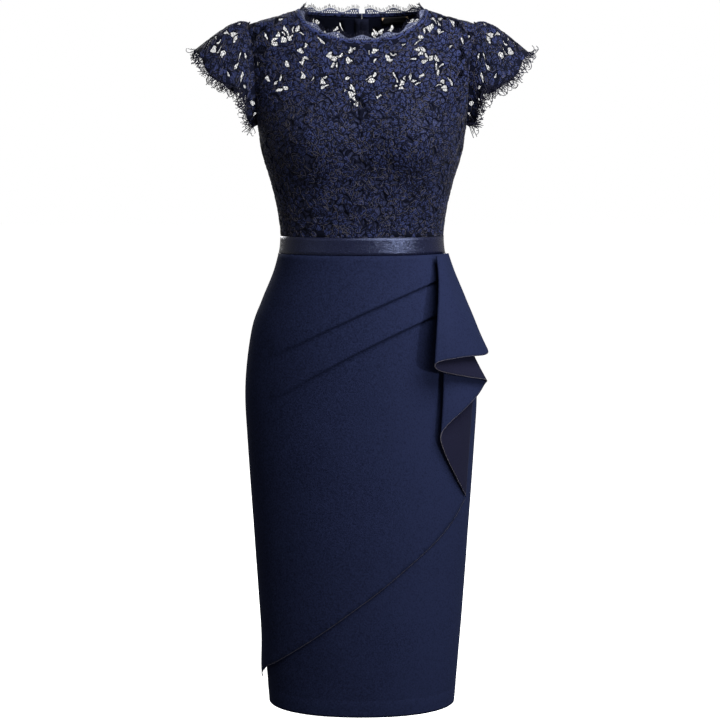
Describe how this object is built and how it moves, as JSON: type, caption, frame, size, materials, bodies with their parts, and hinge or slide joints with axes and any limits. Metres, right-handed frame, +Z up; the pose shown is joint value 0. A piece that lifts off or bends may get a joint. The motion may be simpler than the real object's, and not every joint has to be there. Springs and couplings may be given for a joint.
{
  "type": "cocktail dress",
  "caption": "Fitted knee-length cocktail dress with a sheer lace yoke, cap sleeves, a satin waistband and a wrap pencil skirt with a side cascade, in the hollow form it has when worn.",
  "frame": {"origin": "midway between the two neck points of the shoulders, where the wearer holds the dress up", "axes": "+X to the wearer's left, -Y to the wearer's front, +Z up"},
  "size_m": [0.4972, 0.2633, 1.055],
  "materials": {
    "navy_lace": "corded floral lace",
    "navy_lining": "smooth knitted lining",
    "navy_crepe": "matte stretch crepe",
    "navy_satin": "satin ribbon",
    "zip_tape": "woven tape",
    "zip_metal": "lacquered zinc",
    "label_cloth": "woven satin label"
  },
  "bodies": {
    "dress": {"bodice_lace_back_left": "navy_lace", "bodice_lace_back_right": "navy_lace", "bodice_lace_front": "navy_lace", "cascade": "navy_crepe", "label": "label_cloth", "lining_back_left": "navy_lining", "lining_back_right": "navy_lining", "lining_front": "navy_lining", "neck_binding": "navy_lace", "neck_trim": "navy_lace", "skirt_back_left": "navy_crepe", "skirt_back_right": "navy_crepe", "skirt_front": "navy_crepe", "skirt_wrap": "navy_crepe", "sleeve_left": "navy_lace", "sleeve_right": "navy_lace", "sleeve_trim_left": "navy_lace", "sleeve_trim_right": "navy_lace", "waist_ribbon": "navy_satin", "yoke_lace_back_left": "navy_lace", "yoke_lace_back_right": "navy_lace", "yoke_lace_front": "navy_lace", "zip_slider": "zip_metal", "zip_tape": "zip_tape"},
    "pull": {"zip_pull": "zip_metal"}
  },
  "joints": [
    {"name": "pull_hinge", "type": "hinge", "parent": "dress", "child": "pull", "pos_m": [0, 0.07508, -0.02076], "axis": [1, 0, 0], "range_deg": [0, 150]}
  ]
}
